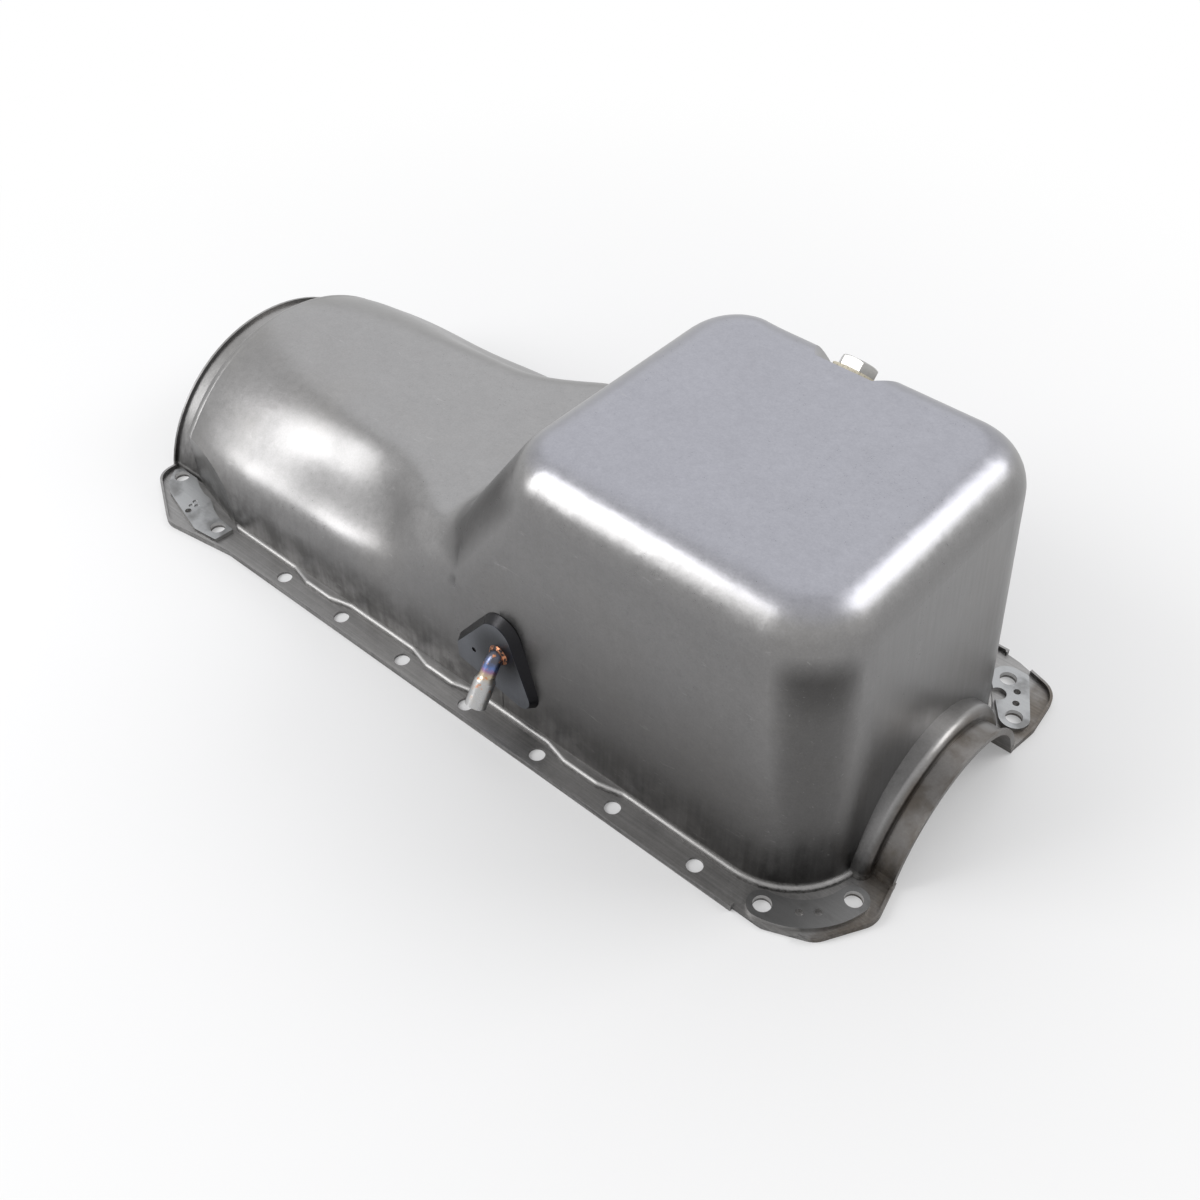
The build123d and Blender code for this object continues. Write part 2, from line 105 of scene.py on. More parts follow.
# Colours that stay the same whatever the panel says
# Painted shade on the walls and the sump's corners, also used for the darkening towards the foot
# of the walls
DARKENING_COLOUR = (0.06, 0.058, 0.057)
ARCH_STAIN = (0.1, 0.085, 0.07)
SCUFF_COLOUR = (0.46, 0.455, 0.45)
# Heat scorch round the dipstick tube's root, and painted shade on the pad's slopes
SCORCH_AND_SHADE_COLOUR = (0.012, 0.012, 0.014)
SHEARED_COLOUR = (0.62, 0.61, 0.6)
SPECK_COLOUR = (0.16, 0.13, 0.09)
BRAZE_SCORCH = (0.03, 0.028, 0.03)
HEAT_COLOURS = [
    (0.0, (0.42, 0.42, 0.42)),
    (0.35, (0.46, 0.38, 0.26)),
    (0.6, (0.28, 0.16, 0.26)),
    (0.8, (0.12, 0.18, 0.38)),
    (1.0, (0.1, 0.1, 0.12)),
]

# Where the dipstick tube leaves its pad, and where the tube is hottest
TUBE_ROOT = (0.022, -0.1045, 0.051)
TUBE_ELBOW = (0.022, -0.107, 0.053)

# The share of white in the floor as the eye sees it: at the pan, and how far out it is all white
FLOOR_GLOW = 0.15
FLOOR_FADE = (0.15, 0.7)
FLOOR_GAP = 0.0002

# Softboxes: name, place, width and height, colour; their strengths are in the panel
SOFTBOXES = (
    ("left", (-0.815, -1.025, 0.93), (0.66, 1.2), WHITE),
    ("right", (0.85, 0.95, 1.1), (0.8, 0.8), WHITE),
    ("top", (-0.9, 1.05, 1.5), (2.2, 2.2), (0.93, 0.95, 1.0)),
)
LAMP_TARGET = (0.0, 0.0, 0.08)
CAMERA_PLACE = (0.3946, -0.4498, 0.5911)
CAMERA_TARGET = (0.00086, -0.00002, 0.0)


class Wire:
    """A socket of a node tree that can stand in a Python expression."""

    def __init__(self, tree, socket=None):
        self.tree = tree
        self.socket = socket

    def node(self, kind, settings=None, values=None, output=0):
        """Add a node from its type, its settings, and the values or links of its sockets.

        The setting "stops" fills a colour ramp, as (place, colour) pairs.
        """
        made = self.tree.nodes.new(kind)
        for name, value in (settings or {}).items():
            if name == "stops":
                ramp = made.color_ramp.elements
                for place, colour in value[2:]:
                    ramp.new(place)
                for element, (place, colour) in zip(ramp, value):
                    element.position = place
                    element.color = (*colour, 1.0)
            else:
                setattr(made, name, value)
        for key, value in (values or {}).items():
            if isinstance(value, Wire):
                self.tree.links.new(value.socket, made.inputs[key])
            else:
                made.inputs[key].default_value = value
        return Wire(self.tree, made.outputs[output] if made.outputs else None)

    def math(self, operation, *numbers):
        return self.node("ShaderNodeMath", {"operation": operation}, dict(enumerate(numbers)))

    def __add__(self, other):
        return self.math("ADD", self, other)

    __radd__ = __add__

    def __sub__(self, other):
        return self.math("SUBTRACT", self, other)

    def __mul__(self, other):
        return self.math("MULTIPLY", self, other)

    def __abs__(self):
        return self.math("ABSOLUTE", self)

    def most(self, other):
        """The larger of two values."""
        return self.math("MAXIMUM", self, other)

    def rise(self, low, high):
        """0 at low and 1 at high, with a soft start and end; falls where low is above high."""
        return self.node(
            "ShaderNodeMapRange", {"interpolation_type": "SMOOTHSTEP"}, {0: self, 1: low, 2: high}
        )

    def stretched(self, by):
        """This place, scaled along each axis."""
        settings = {"operation": "MULTIPLY"}
        return self.node("ShaderNodeVectorMath", settings, {0: self, 1: by})

    def noise(self, scale, detail=3.0, roughness=0.5, distortion=0.0):
        """Soft random values at this place, about 0.5."""
        values = {
            "Vector": self,
            "Scale": scale,
            "Detail": detail,
            "Roughness": roughness,
            "Distortion": distortion,
        }
        return self.node("ShaderNodeTexNoise", {}, values)

    def distance(self, point):
        """How far this place is from a point."""
        settings = {"operation": "DISTANCE"}
        return self.node("ShaderNodeVectorMath", settings, {0: self, 1: point}, output="Value")

    def tinted(self, red_green_blue, amount):
        """This colour, moved towards another."""
        values = {0: amount, 6: self, 7: (*red_green_blue, 1.0)}
        return self.node("ShaderNodeMix", {"data_type": "RGBA"}, values, output=2)

    def shaded(self, factor):
        """This colour, made lighter or darker by a value."""
        settings = {"operation": "SCALE"}
        return self.node("ShaderNodeVectorMath", settings, {0: self, "Scale": factor})

    def colour(self, red_green_blue):
        """A plain colour to start from."""
        node = self.node("ShaderNodeRGB")
        node.socket.default_value = (*red_green_blue, 1.0)
        return node


def start_finish(name):
    """A new material with an empty tree, and the place on the piece in metres."""
    material = bpy.data.materials.new(name)
    material.use_nodes = True
    material.node_tree.nodes.clear()
    sheet = Wire(material.node_tree)
    place = sheet.node("ShaderNodeTexCoord", output="Object")
    return material, sheet, place


def axes(place):
    """The three coordinates of a place or a direction."""
    return [place.node("ShaderNodeSeparateXYZ", {}, {0: place}, output=axis) for axis in "XYZ"]


def end_finish(sheet, colour, roughness, heights, metallic=1.0):
    """Close a material: heights are (value, depth in metres) pairs, coarse first."""
    normal = None
    for height, depth in heights:
        values = {"Height": height, "Distance": depth, "Strength": 1.0}
        if normal:
            values["Normal"] = normal
        normal = sheet.node("ShaderNodeBump", {}, values)
    surface = {"Base Color": colour, "Roughness": roughness, "Metallic": metallic}
    if normal:
        surface["Normal"] = normal
    shader = sheet.node("ShaderNodeBsdfPrincipled", {}, surface)
    sheet.node("ShaderNodeOutputMaterial", {}, {"Surface": shader})


def drawn_steel(look):
    """Bare deep-drawn sheet: cloudy greys, drawing lines on the walls, grime at the foot; painted
    shade on the walls, the sump's corners and the pad's slopes, and a painted reflection on the
    sump floor.
    """
    material, sheet, place = start_finish("drawn_steel_bare")
    x, y, z = axes(place)
    facing = sheet.node("ShaderNodeNewGeometry", output="Normal")
    facing_x, facing_y, facing_up = axes(facing)

    # Textures, from coarse to fine; the stretched ones run along the walls or along the rails
    clouds = place.noise(9.0, 3.0, 0.5)
    blotches = place.noise(48.0, 4.0, 0.6)
    mottle = place.noise(210.0, 3.0, 0.65)
    grain = place.noise(900.0, 3.0, 0.7)
    lines = place.stretched((300.0, 300.0, 9.0)).noise(1.0, 3.0, 0.6)
    brushing = place.stretched((16.0, 700.0, 700.0)).noise(1.0, 3.0, 0.7)
    scratches = place.stretched((30.0, 90.0, 60.0)).noise(6.0, 2.0, 0.5, 1.5)
    scuffs = place.stretched((22.0, 160.0, 120.0)).noise(3.0, 4.0, 0.75, 0.8).rise(0.62, 0.74)

    # Areas of the sheet
    wall = abs(facing_up).rise(0.8, 0.35)
    # Painted reflection: the sump floor, facing up, is tinted lighter and cooler for the overhead
    # light it mirrors
    sump_floor_reflection = z.rise(0.166, 0.1745)
    foot = z.rise(0.052, 0.009)
    rail = z.rise(0.0062, 0.0048)
    arch = x.rise(0.226, 0.23) * z.rise(0.062, 0.058)
    smudge = foot * wall * blotches.rise(0.36, 0.62)
    # Painted shade: the sump's upright corners are darkened, most of all in a band just below the
    # top round
    corner = abs(facing_x * facing_y).rise(0.02, 0.5)
    corner = corner * z.rise(0.168, 0.14) * z.rise(0.004, 0.008)
    corner_shade_peak = z.rise(0.162, 0.152) * z.rise(0.112, 0.142)
    # Darker towards the bottom of the walls, more so towards the rear
    low_wall = z.rise(0.13, 0.015) * wall * x.rise(-0.1, 0.1)
    # Painted shade: every wall is darker than the flat faces, and the corners darker still
    darkened = (low_wall * 0.5 + wall * 0.26).most(corner * (0.74 + corner_shade_peak * 0.2))

    # The raised pad of the dipstick tube: its box on the near wall, then its slope, which is
    # painted in shade, and its face
    pad = x.rise(-0.022, -0.018) * x.rise(0.056, 0.05)
    pad = pad * z.rise(0.012, 0.016) * z.rise(0.082, 0.078) * y.rise(-0.0955, -0.098)
    pad_slope_shade = pad * abs(facing_y).rise(0.985, 0.9)
    pad_face = pad * y.rise(-0.1035, -0.1043)
    scorch = place.distance(TUBE_ROOT).rise(0.026, 0.008) * pad

    colour = sheet.colour(look.steel_colour)
    colour = colour.tinted(look.warm_colour, clouds.rise(0.45, 0.75) * 0.6)
    # Painted reflection of the overhead light on the sump floor
    colour = colour.tinted(look.floor_colour, sump_floor_reflection * 0.85)
    colour = colour.tinted(look.grime_colour, smudge * 0.75)
    # Painted shade on walls and corners, with the darkening towards the foot
    colour = colour.tinted(DARKENING_COLOUR, darkened)
    colour = colour.tinted(look.rail_colour, rail * brushing.rise(0.25, 0.6) * 0.8)
    colour = colour.tinted(ARCH_STAIN, arch * (0.35 + blotches.rise(0.35, 0.65) * 0.5))
    colour = colour.tinted(SCUFF_COLOUR, scuffs * 0.22)
    colour = colour.tinted(look.pad_colour, pad_face * 0.8)
    # Painted shade: the pad's slopes near black; the scorch round the tube's root is heat colour
    colour = colour.tinted(SCORCH_AND_SHADE_COLOUR, (pad_slope_shade * 0.92).most(scorch * 0.75))
    light = 1.0 + (grain - 0.5) * 0.34 + (mottle - 0.5) * 0.22
    light = light + (lines - 0.5) * wall * foot * 0.9 + (brushing - 0.5) * rail * 0.8
    colour = colour.shaded(light + (blotches - 0.5) * 0.12)

    roughness = look.steel_roughness - 0.03 + (clouds - 0.5) * 0.12 + (grain - 0.5) * 0.16
    roughness = roughness + (mottle - 0.5) * 0.12 + smudge * 0.12 + (lines - 0.5) * wall * 0.15
    roughness = roughness + scratches.rise(0.7, 0.75) * 0.08 + rail * 0.12
    heights = [
        (clouds, 0.0005),
        (blotches, 0.00012),
        (lines * wall + brushing * rail, 0.00004),
        (grain, 0.000014),
    ]
    end_finish(sheet, colour, roughness, heights)
    return material


def plate_steel(name, tint, look):
    """Cold-rolled plate: fine brushed grain, cloudy stains, and brighter sheared edges."""
    material, sheet, place = start_finish(name)
    clouds = place.noise(60.0, 3.0, 0.5)
    grain = place.noise(1800.0, 2.0, 0.6)
    brushing = place.stretched((30.0, 900.0, 900.0)).noise(1.0, 3.0, 0.7)
    colour = sheet.colour(tint)
    colour = colour.tinted(look.grime_colour, clouds.rise(0.5, 0.72) * 0.6)
    facing = sheet.node("ShaderNodeNewGeometry", output="Normal")
    sheared = abs(axes(facing)[2]).rise(0.8, 0.4)
    colour = colour.tinted(SHEARED_COLOUR, sheared * 0.6)
    colour = colour.shaded(1.0 + (grain - 0.5) * 0.2 + (brushing - 0.5) * 0.25)
    roughness = look.plate_roughness + (clouds - 0.5) * 0.15 + (brushing - 0.5) * 0.1
    end_finish(sheet, colour, roughness, [(brushing, 0.00003), (grain, 0.00001)])
    return material


def plug_steel(look):
    """Plated plug: bright and slightly cloudy, with a fine grain."""
    material, sheet, place = start_finish("plug_steel_plated")
    clouds = place.noise(220.0, 3.0, 0.5)
    grain = place.noise(2600.0, 2.0, 0.6)
    light = 0.9 + (clouds - 0.5) * 0.4 + (grain - 0.5) * 0.2
    colour = sheet.colour(look.plug_colour).shaded(light)
    roughness = 0.3 + (clouds - 0.5) * 0.25
    end_finish(sheet, colour, roughness, [(clouds, 0.00005), (grain, 0.00001)])
    return material


def gasket_fibre(look):
    """Pressed fibre washer: cream, speckled and matt."""
    material, sheet, place = start_finish("gasket_fibre_pressed")
    fibres = place.stretched((900.0, 2400.0, 900.0)).noise(1.0, 4.0, 0.7)
    specks = place.noise(1100.0, 2.0, 0.6)
    colour = sheet.colour(look.gasket_colour)
    colour = colour.tinted(SPECK_COLOUR, specks.rise(0.56, 0.68) * 0.7)
    colour = colour.shaded(0.85 + fibres * 0.3)
    end_finish(sheet, colour, 0.8, [(fibres, 0.00008)], metallic=0.0)
    return material


def tube_steel(look):
    """Drawn tube with heat colours at its elbow and a few copper splashes."""
    material, sheet, place = start_finish("tube_steel_heated")
    grain = place.noise(2400.0, 2.0, 0.6)
    drops = place.noise(330.0, 2.0, 0.5)
    from_elbow = place.distance(TUBE_ELBOW)
    heat = from_elbow.rise(0.017, 0.004) + (drops - 0.5) * 0.3
    colour = sheet.node("ShaderNodeValToRGB", {"stops": HEAT_COLOURS}, {0: heat})
    copper = drops.rise(0.6, 0.66) * from_elbow.rise(0.03, 0.012)
    colour = colour.tinted(look.copper_colour, copper)
    colour = colour.shaded(1.0 + (grain - 0.5) * 0.3)
    roughness = 0.32 + (drops - 0.5) * 0.3
    end_finish(sheet, colour, roughness, [(drops, 0.0001), (grain, 0.00001)])
    return material


def copper_braze(look):
    """Ring of braze, dull and scorched."""
    material, sheet, place = start_finish("copper_braze_scorched")
    drops = place.noise(420.0, 3.0, 0.6)
    colour = sheet.colour(look.copper_colour)
    colour = colour.tinted(BRAZE_SCORCH, drops.rise(0.4, 0.6))
    end_finish(sheet, colour, 0.45 + (drops - 0.5) * 0.3, [(drops, 0.0004)])
    return material


def colour_property(name, description, default):
    """A colour that shows as a swatch in the panel."""
    return bpy.props.FloatVectorProperty(
        name=name,
        description=description,
        default=default,
        subtype="COLOR",
        size=3,
        min=0.0,
        max=1.0,
    )


def share_property(name, description, default):
    """A share from nearly 0 to 1, as a slider."""
    return bpy.props.FloatProperty(
        name=name, description=description, default=default, min=0.05, max=1.0, subtype="FACTOR"
    )


def light_property(name, description, default):
    """The brightness of a lamp or of the room, where 1 looks white."""
    return bpy.props.FloatProperty(name=name, description=description, default=default, min=0.0)


class OilPanLook(bpy.types.PropertyGroup):
    """Colours and finish of the pan's metals."""

    steel_colour: colour_property("Drawn steel", "Bare sheet of the pan", (0.265, 0.262, 0.262))
    warm_colour: colour_property("Warm cast", "Faint oil tint in the sheet", (0.262, 0.254, 0.246))
    # Painted reflection: the sump floor's lighter, cooler colour stands for the overhead light it
    # mirrors
    floor_colour: colour_property("Sump floor", "Cool tint of the sump floor", (0.3, 0.302, 0.335))
    grime_colour: colour_property("Grime", "Grime at the foot and on plates", (0.09, 0.088, 0.085))
    rail_colour: colour_property("Rails", "Brushed gasket rails", (0.25, 0.246, 0.242))
    pad_colour: colour_property("Dipstick pad", "Heat-darkened face", (0.13, 0.14, 0.16))
    plate_colour: colour_property("Plates", "Corner doubler plates", (0.34, 0.345, 0.35))
    dark_plate_colour: colour_property("Worn plate", "Near rear plate", (0.2, 0.2, 0.2))
    plug_colour: colour_property("Drain plug", "Plating of plug and nut", (0.46, 0.455, 0.44))
    gasket_colour: colour_property("Gasket", "Pressed fibre washer", (0.62, 0.57, 0.45))
    copper_colour: colour_property("Braze", "Copper at the dipstick tube", (0.5, 0.22, 0.12))
    steel_roughness: share_property("Sheet roughness", "How matt the drawn sheet is", 0.36)
    plate_roughness: share_property("Plate roughness", "How matt the plates are", 0.42)


class OilPanStudio(bpy.types.PropertyGroup):
    """Floor, lamps and camera."""

    floor_size: bpy.props.FloatProperty(
        name="Floor size",
        description="Side of the square floor",
        default=14.0,
        min=2.0,
        unit="LENGTH",
    )
    floor_colour: colour_property("Floor", "Pale studio floor", (0.71, 0.71, 0.715))
    sky_strength: light_property("Room light", "Even light from the room's walls", 0.35)
    ceiling_strength: light_property("Ceiling light", "Even light from the ceiling", 0.85)
    left_strength: light_property("Left softbox", "Softbox at the camera's left", 6.3)
    right_strength: light_property("Right softbox", "Softbox at the camera's right", 4.2)
    top_strength: light_property("Overhead softbox", "Large softbox overhead", 0.45)
    lens: bpy.props.FloatProperty(
        name="Lens",
        description="Focal length on a 36 mm sensor",
        default=42.61,
        min=10.0,
        unit="CAMERA",
    )


def dress(material, *names):
    """Give some CAD nodes one finish."""
    for name in names:
        slots = NODES[name].data.materials
        for index in range(len(slots)):
            slots[index] = material


def sheet_points(tree, stations, angles, outside):
    """Points of the outer or inner face of the sheet, ring by ring round the trough."""
    points = np.zeros((len(stations), len(angles), 3))
    for row, x in enumerate(stations):
        for column, angle in enumerate(angles):
            away = Vector((0.0, -math.cos(angle), math.sin(angle)))
            axis = Vector((x, 0.0, FAIRED_FLOOR))
            start, heading = (axis + RAY_START * away, -away) if outside else (axis, away)
            hit = tree.ray_cast(start, heading)[0]
            if hit is None:
                raise RuntimeError("a ray missed the drawn sheet")
            points[row, column] = hit
    return points


def spread(grid):
    """The way from each inner point of a grid to its four neighbours, added up."""
    out = np.zeros_like(grid)
    middle = grid[1:-1, 1:-1]
    out[1:-1, 1:-1] = (
        grid[2:, 1:-1] + grid[:-2, 1:-1] + grid[1:-1, 2:] + grid[1:-1, :-2] - 4 * middle
    )
    return out


def soft_step(values, low, high):
    """0 below low, 1 above high, and a soft rise between."""
    share = np.clip((values - low) / (high - low), 0.0, 1.0)
    return share * share * (3 - 2 * share)


def bridge(points, span, widening, flare_end):
    """Redraw the flanks between two stations as one smooth run along the trough.

    The run follows the sheet at both stations. Where flare_end is given, it instead starts
    straight along the trough and turns outwards that strongly at its end.
    """
    x, y, z = (points[..., axis] for axis in range(3))
    start, end = (int(np.searchsorted(x[:, 0], place)) for place in span)
    share = np.linspace(0.0, 1.0, end - start + 1)[:, None, None]
    run = points[end] - points[start]
    straight = np.zeros_like(run)
    straight[:, 0] = run[:, 0]
    if flare_end is None:
        steps = (end - start) / 3
        slope_in = (points[start] - points[start - 3]) * steps
        slope_out = (points[end + 3] - points[end]) * steps
    else:
        slope_in = straight
        slope_out = straight + flare_end * (run - straight)
    curve = (
        (2 * share**3 - 3 * share**2 + 1) * points[start]
        + (share**3 - 2 * share**2 + share) * slope_in
        + (3 * share**2 - 2 * share**3) * points[end]
        + (share**3 - share**2) * slope_out
    )
    inside = FLANK_Y + widening * soft_step(x, *span)
    flank = soft_step(np.abs(y) - inside, 0.0, 0.016) * soft_step(z, 0.035, 0.06)
    rings = slice(start, end + 1)
    points[rings] += (curve - points[rings]) * flank[rings, :, None]


def faired(points):
    """Stretch the sheet smoothly from the dome to the square saddle, as drawing does."""
    x, y, z = (points[..., axis] for axis in range(3))
    smooth = points.copy()
    bridge(smooth, DOME_X, 0.0, None)
    bridge(smooth, FLARE_X, FLARE_WIDENING, FLARE_END)

    # Each point is free to move, but not at the ends or the foot, and little on the crown
    free = soft_step(x, -0.204, -0.186) * soft_step(-x, 0.018, 0.034) * soft_step(z, 0.014, 0.032)
    crown = soft_step(0.078 - np.abs(y), 0.0, 0.02) * soft_step(x, -0.062, -0.05)
    free = free[..., None] * (1 - CROWN_HOLD * crown)[..., None]
    for _ in range(FAIRING_ROUNDS):
        smooth -= FAIRING_SHARE * free * spread(spread(smooth))
    for _ in range(SOFTENING_ROUNDS):
        smooth += SOFTENING_SHARE * free * spread(smooth)

    # The knee, where the flank meets the front of the sump, is rounded once more
    knee = soft_step(x, -0.08, -0.055) * soft_step(-x, 0.0145, 0.021)
    knee = knee * soft_step(np.abs(y), 0.078, 0.088) * soft_step(z, 0.02, 0.04)
    for _ in range(KNEE_ROUNDS):
        smooth += SOFTENING_SHARE * knee[..., None] * spread(smooth)
    return smooth


def grid_normals(points, outside):
    """Unit normals of a grid of points."""
    along = np.gradient(points, axis=0)
    around = np.gradient(points, axis=1)
    normals = np.cross(around, along)
    normals /= np.linalg.norm(normals, axis=2, keepdims=True)
    return normals if outside else -normals


class CadSurface:
    """The shell's CAD mesh, which gives the shading normal at any of its places."""

    def __init__(self, mesh):
        self.mesh = mesh
        self.polygons = [tuple(p.vertices) for p in mesh.polygons]
        self.tree = BVHTree.FromPolygons([v.co for v in mesh.vertices], self.polygons)
        self.corner_normals = [Vector(c.vector) for c in mesh.corner_normals]
        self.corners = {}
        for polygon in mesh.polygons:
            for corner in polygon.loop_indices:
                place = self.key(mesh.vertices[mesh.loops[corner].vertex_index].co)
                self.corners.setdefault(place, []).append((polygon.normal.copy(), corner))

    @staticmethod
    def key(place):
        """A place to the micrometre, by which its corners are found again."""
        return tuple(round(value * 1e6) for value in place)

    def normal(self, place, facing):
        """The CAD normal at a place, on the face that looks the same way."""
        known = self.corners.get(self.key(place))
        if known:
            best = max(known, key=lambda one: one[0].dot(facing))
            if best[0].dot(facing) > SAME_CORNER:
                return self.corner_normals[best[1]]
        for hit, face_normal, index, _ in self.tree.find_nearest_range(place, NORMAL_REACH):
            if face_normal.dot(facing) > SAME_FACE and len(self.polygons[index]) == 3:
                corners = [self.mesh.vertices[v].co for v in self.polygons[index]]
                first = self.mesh.polygons[index].loop_start
                normals = self.corner_normals[first : first + 3]
                return barycentric_transform(hit, *corners, *normals).normalized()
        return facing.normalized()


def cut_out(build):
    """Cut the redrawn part of the sheet out of the shell's mesh."""
    for point, normal in (
        ((FAIRED_X[0], 0, 0), (1, 0, 0)),
        ((FAIRED_X[1], 0, 0), (1, 0, 0)),
        ((0, 0, FAIRED_FLOOR), (0, 0, 1)),
    ):
        everything = build.verts[:] + build.edges[:] + build.faces[:]
        bmesh.ops.bisect_plane(
            build, geom=everything, dist=1e-7, plane_co=point, plane_no=normal
        )
    drop = []
    for face in build.faces:
        middle = face.calc_center_median()
        if FAIRED_X[0] < middle.x < FAIRED_X[1] and middle.z > FAIRED_FLOOR:
            drop.append(face)
    bmesh.ops.delete(build, geom=drop, context="FACES")
    bmesh.ops.triangulate(build, faces=build.faces[:])


def add_grid(build, surface, points, outside):
    """Add one face of the redrawn sheet, and return the normals of each new face's corners."""
    facing = grid_normals(points, outside)
    rings, count = points.shape[:2]
    verts = [[build.verts.new(points[r, c]) for c in range(count)] for r in range(rings)]
    for r in range(rings):
        for c in range(count):
            if r in (0, rings - 1) or c in (0, count - 1):
                facing[r, c] = surface.normal(Vector(points[r, c]), Vector(facing[r, c]))
    normals = {}
    for r in range(rings - 1):
        for c in range(count - 1):
            corners = [(r, c), (r, c + 1), (r + 1, c + 1), (r + 1, c)]
            if not outside:
                corners.reverse()
            face = build.faces.new([verts[a][b] for a, b in corners])
            normals[face] = [Vector(facing[a, b]) for a, b in corners]
    return normals


def faired_shell(node):
    """The CAD shell, with the sheet between dome and sump stretched smoothly."""
    surface = CadSurface(node.data)
    stations = np.linspace(*FAIRED_X, FAIRED_RINGS)
    angles = np.linspace(0.0, math.pi, FAIRED_RING_POINTS)
    outer = sheet_points(surface.tree, stations, angles, True)
    inner = sheet_points(surface.tree, stations, angles, False)
    new_outer = faired(outer)
    new_inner = inner + new_outer - outer

    build = bmesh.new()
    build.from_mesh(node.data)
    cut_out(build)
    new_faces = add_grid(build, surface, new_outer, True)
    new_faces.update(add_grid(build, surface, new_inner, False))
    build.normal_update()
    normals = []
    for face in build.faces:
        face.smooth = True
        known = new_faces.get(face)
        normals += known or [surface.normal(v.co, face.normal) for v in face.verts]
    mesh = bpy.data.meshes.new("pan_skin")
    build.to_mesh(mesh)
    build.free()
    mesh.normals_split_custom_set(normals)
    skin = bpy.data.objects.new("pan_skin", mesh)
    bpy.context.scene.collection.objects.link(skin)
    return skin


class OILPAN_OT_shell(bpy.types.Operator):
    """Stretch the drawn sheet smoothly between dome and sump, and finish it."""

    bl_idname = "oilpan.shell"
    bl_label = "Drawn Shell"

    def execute(self, context):
        skin = faired_shell(NODES["pan_shell"])
        skin.data.materials.append(drawn_steel(context.scene.oil_pan_look))
        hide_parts("pan_shell")
        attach(skin, "pan")
        return {"FINISHED"}


class OILPAN_OT_plates(bpy.types.Operator):
    """Finish the four corner plates."""

    bl_idname = "oilpan.plates"
    bl_label = "Corner Plates"

    def execute(self, context):
        look = context.scene.oil_pan_look
        pale = plate_steel("plate_steel_satin", look.plate_colour, look)
        darkened = plate_steel("plate_steel_worn", look.dark_plate_colour, look)
        dress(pale, "corner_plate_front_near", "corner_plate_front_far", "corner_plate_rear_far")
        dress(darkened, "corner_plate_rear_near")
        return {"FINISHED"}


class OILPAN_OT_drain(bpy.types.Operator):
    """Finish the drain plug, its gasket and its weld nut."""

    bl_idname = "oilpan.drain"
    bl_label = "Drain Plug"

    def execute(self, context):
        look = context.scene.oil_pan_look
        dress(plug_steel(look), "drain_plug", "drain_nut")
        dress(gasket_fibre(look), "drain_gasket")
        return {"FINISHED"}


class OILPAN_OT_dipstick(bpy.types.Operator):
    """Finish the dipstick tube and its braze."""

    bl_idname = "oilpan.dipstick"
    bl_label = "Dipstick Tube"

    def execute(self, context):
        look = context.scene.oil_pan_look
        dress(tube_steel(look), "dipstick_tube")
        dress(copper_braze(look), "dipstick_braze")
        return {"FINISHED"}


def aimed(position, target):
    """A matrix at a position whose -Z axis looks at a target, with +Y up."""
    back = (Vector(position) - Vector(target)).normalized()
    right = Vector((0.0, 0.0, 1.0)).cross(back).normalized()
    up = back.cross(right)
    turn = Matrix((right, up, back)).transposed().to_4x4()
    return Matrix.Translation(position) @ turn


def softbox(name, position, size, strength, colour):
    """A rectangular lamp aimed at the pan; its strength is its brightness to the eye."""
    lamp = bpy.data.lights.new(name, "AREA")
    lamp.shape = "RECTANGLE"
    lamp.size, lamp.size_y = size
    lamp.energy = strength * math.pi * size[0] * size[1]
    lamp.color = colour
    lamp_object = bpy.data.objects.new(name, lamp)
    lamp_object.matrix_world = aimed(position, LAMP_TARGET)
    bpy.context.scene.collection.objects.link(lamp_object)


def seen_directly(sheet):
    """1 where the eye meets a thing straight, mirrored or through glass, 0 for its light."""
    camera, glossy, clear = (
        sheet.node("ShaderNodeLightPath", output=f"Is {ray} Ray")
        for ray in ("Camera", "Glossy", "Transmission")
    )
    return camera.most(glossy).most(clear)


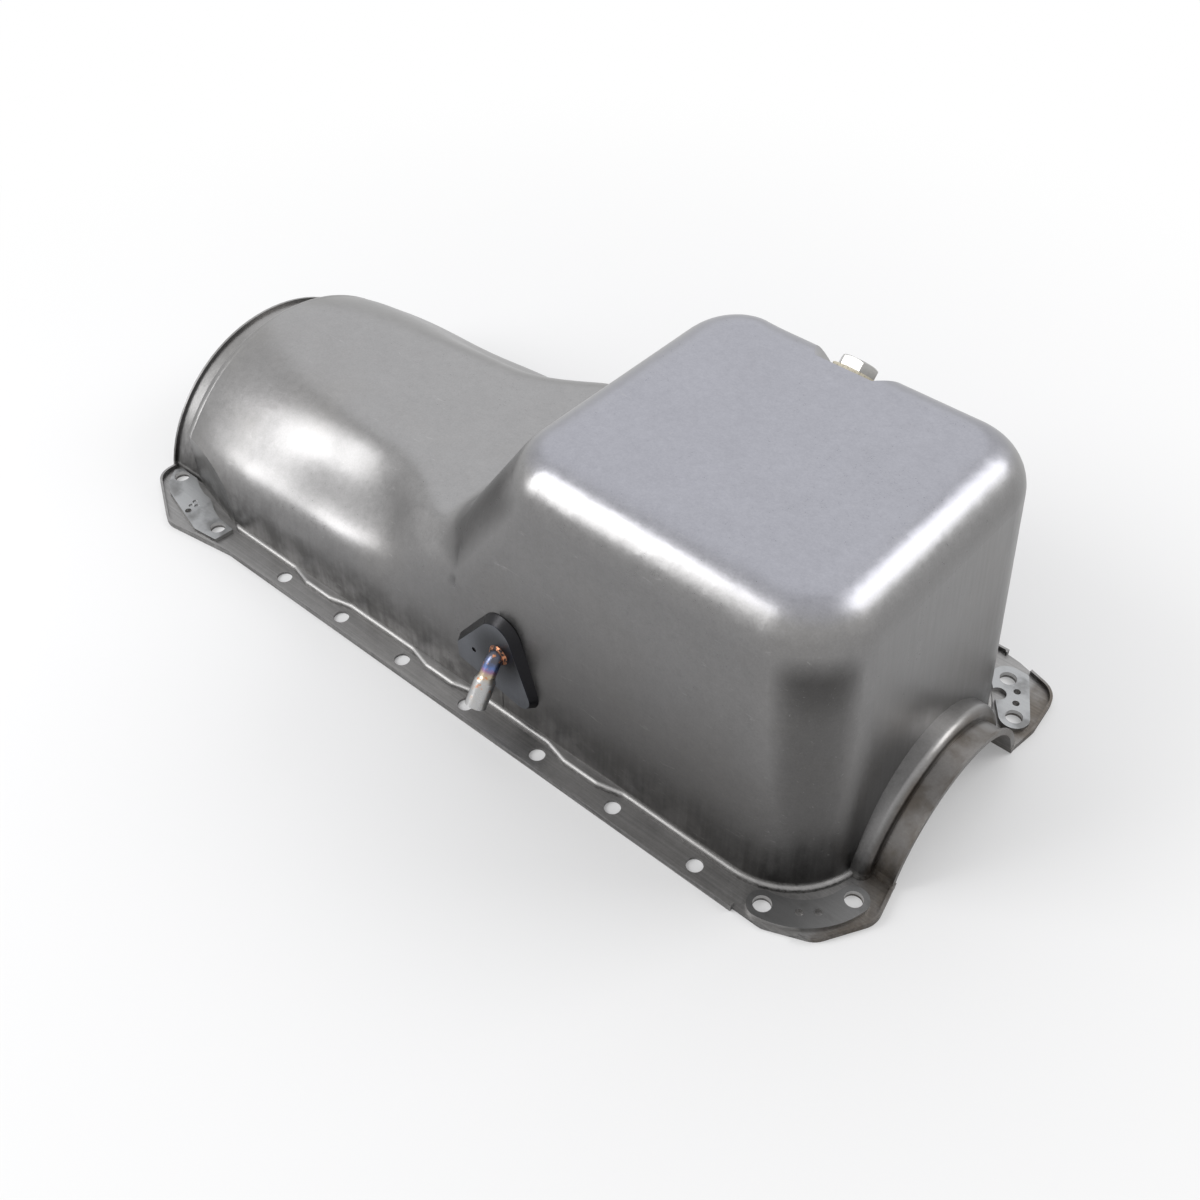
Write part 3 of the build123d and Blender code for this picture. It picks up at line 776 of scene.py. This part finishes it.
class OILPAN_OT_studio(bpy.types.Operator):
    """Set up the pale floor, the soft lamps and the camera."""

    bl_idname = "oilpan.studio"
    bl_label = "Studio"

    def execute(self, context):
        studio = context.scene.oil_pan_studio
        self.lay_floor(studio)
        self.light_room(studio)
        strengths = (studio.left_strength, studio.right_strength, studio.top_strength)
        for (name, place, size, colour), strength in zip(SOFTBOXES, strengths):
            softbox("softbox_" + name, place, size, strength, colour)
        self.place_camera(studio)
        context.scene.view_settings.view_transform = "Standard"
        return {"FINISHED"}

    def lay_floor(self, studio):
        """A pale floor that fades to white away from the pan and keeps its shadow."""
        material, sheet, place = start_finish("studio_floor")
        paint = sheet.node("ShaderNodeBsdfDiffuse", {}, {"Color": (*studio.floor_colour, 1.0)})
        glow = {"Color": (*WHITE, 1.0), "Strength": 1.0}
        white = sheet.node("ShaderNodeEmission", {}, glow)
        far = place.distance((0.0, 0.0, 0.0)).rise(*FLOOR_FADE)
        share = seen_directly(sheet) * (FLOOR_GLOW + far * (1.0 - FLOOR_GLOW))
        both = sheet.node("ShaderNodeMixShader", {}, {0: share, 1: paint, 2: white})
        sheet.node("ShaderNodeOutputMaterial", {}, {"Surface": both})
        mesh = bpy.data.meshes.new("studio_floor")
        build = bmesh.new()
        bmesh.ops.create_grid(build, x_segments=8, y_segments=8, size=studio.floor_size / 2)
        build.to_mesh(mesh)
        build.free()
        mesh.materials.append(material)
        floor = bpy.data.objects.new("studio_floor", mesh)
        floor.location.z = CAD_BOX[0][2] - FLOOR_GAP
        bpy.context.scene.collection.objects.link(floor)

    def light_room(self, studio):
        """Even light from walls and ceiling, in a room that looks white."""
        world = bpy.data.worlds.new("studio_room")
        world.use_nodes = True
        world.node_tree.nodes.clear()
        sheet = Wire(world.node_tree)
        walls, ceiling, white = (
            sheet.node("ShaderNodeBackground", {}, {"Color": (*WHITE, 1.0), "Strength": strength})
            for strength in (studio.sky_strength, studio.ceiling_strength, 1.0)
        )
        height = axes(sheet.node("ShaderNodeTexCoord", output="Generated"))[2]
        overhead = height.rise(0.2, 0.7)
        room = sheet.node("ShaderNodeMixShader", {}, {0: overhead, 1: walls, 2: ceiling})
        seen = seen_directly(sheet)
        sky = sheet.node("ShaderNodeMixShader", {}, {0: seen, 1: room, 2: white})
        sheet.node("ShaderNodeOutputWorld", {}, {"Surface": sky})
        bpy.context.scene.world = world

    def place_camera(self, studio):
        """The camera that was fitted to the photograph."""
        camera = bpy.data.cameras.new("studio_camera")
        camera.lens = studio.lens
        camera.sensor_width = 36.0
        camera.clip_end = 50.0
        camera_object = bpy.data.objects.new("studio_camera", camera)
        camera_object.matrix_world = aimed(CAMERA_PLACE, CAMERA_TARGET)
        bpy.context.scene.collection.objects.link(camera_object)
        bpy.context.scene.camera = camera_object


PIECE_OPERATORS = (
    OILPAN_OT_shell,
    OILPAN_OT_plates,
    OILPAN_OT_drain,
    OILPAN_OT_dipstick,
    OILPAN_OT_studio,
)


class OILPAN_PT_panel(bpy.types.Panel):
    """Lists the steps that dress the pan."""

    bl_idname = "OILPAN_PT_panel"
    bl_label = "Oil Pan"
    bl_space_type = "VIEW_3D"
    bl_region_type = "UI"
    bl_category = "Oil Pan"

    def draw(self, context):
        for step in PIECE_OPERATORS:
            self.layout.operator(step.bl_idname)


CLASSES = (OilPanLook, OilPanStudio, *PIECE_OPERATORS, OILPAN_PT_panel)


def register():
    for each in CLASSES:
        bpy.utils.register_class(each)
    bpy.types.Scene.oil_pan_look = bpy.props.PointerProperty(type=OilPanLook)
    bpy.types.Scene.oil_pan_studio = bpy.props.PointerProperty(type=OilPanStudio)


def unregister():
    del bpy.types.Scene.oil_pan_studio
    del bpy.types.Scene.oil_pan_look
    for each in reversed(CLASSES):
        bpy.utils.unregister_class(each)


def main():
    """Dress the pan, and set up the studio."""
    register()
    bpy.ops.oilpan.shell()
    bpy.ops.oilpan.plates()
    bpy.ops.oilpan.drain()
    bpy.ops.oilpan.dipstick()
    bpy.ops.oilpan.studio()


if __name__ == "__main__":
    main()
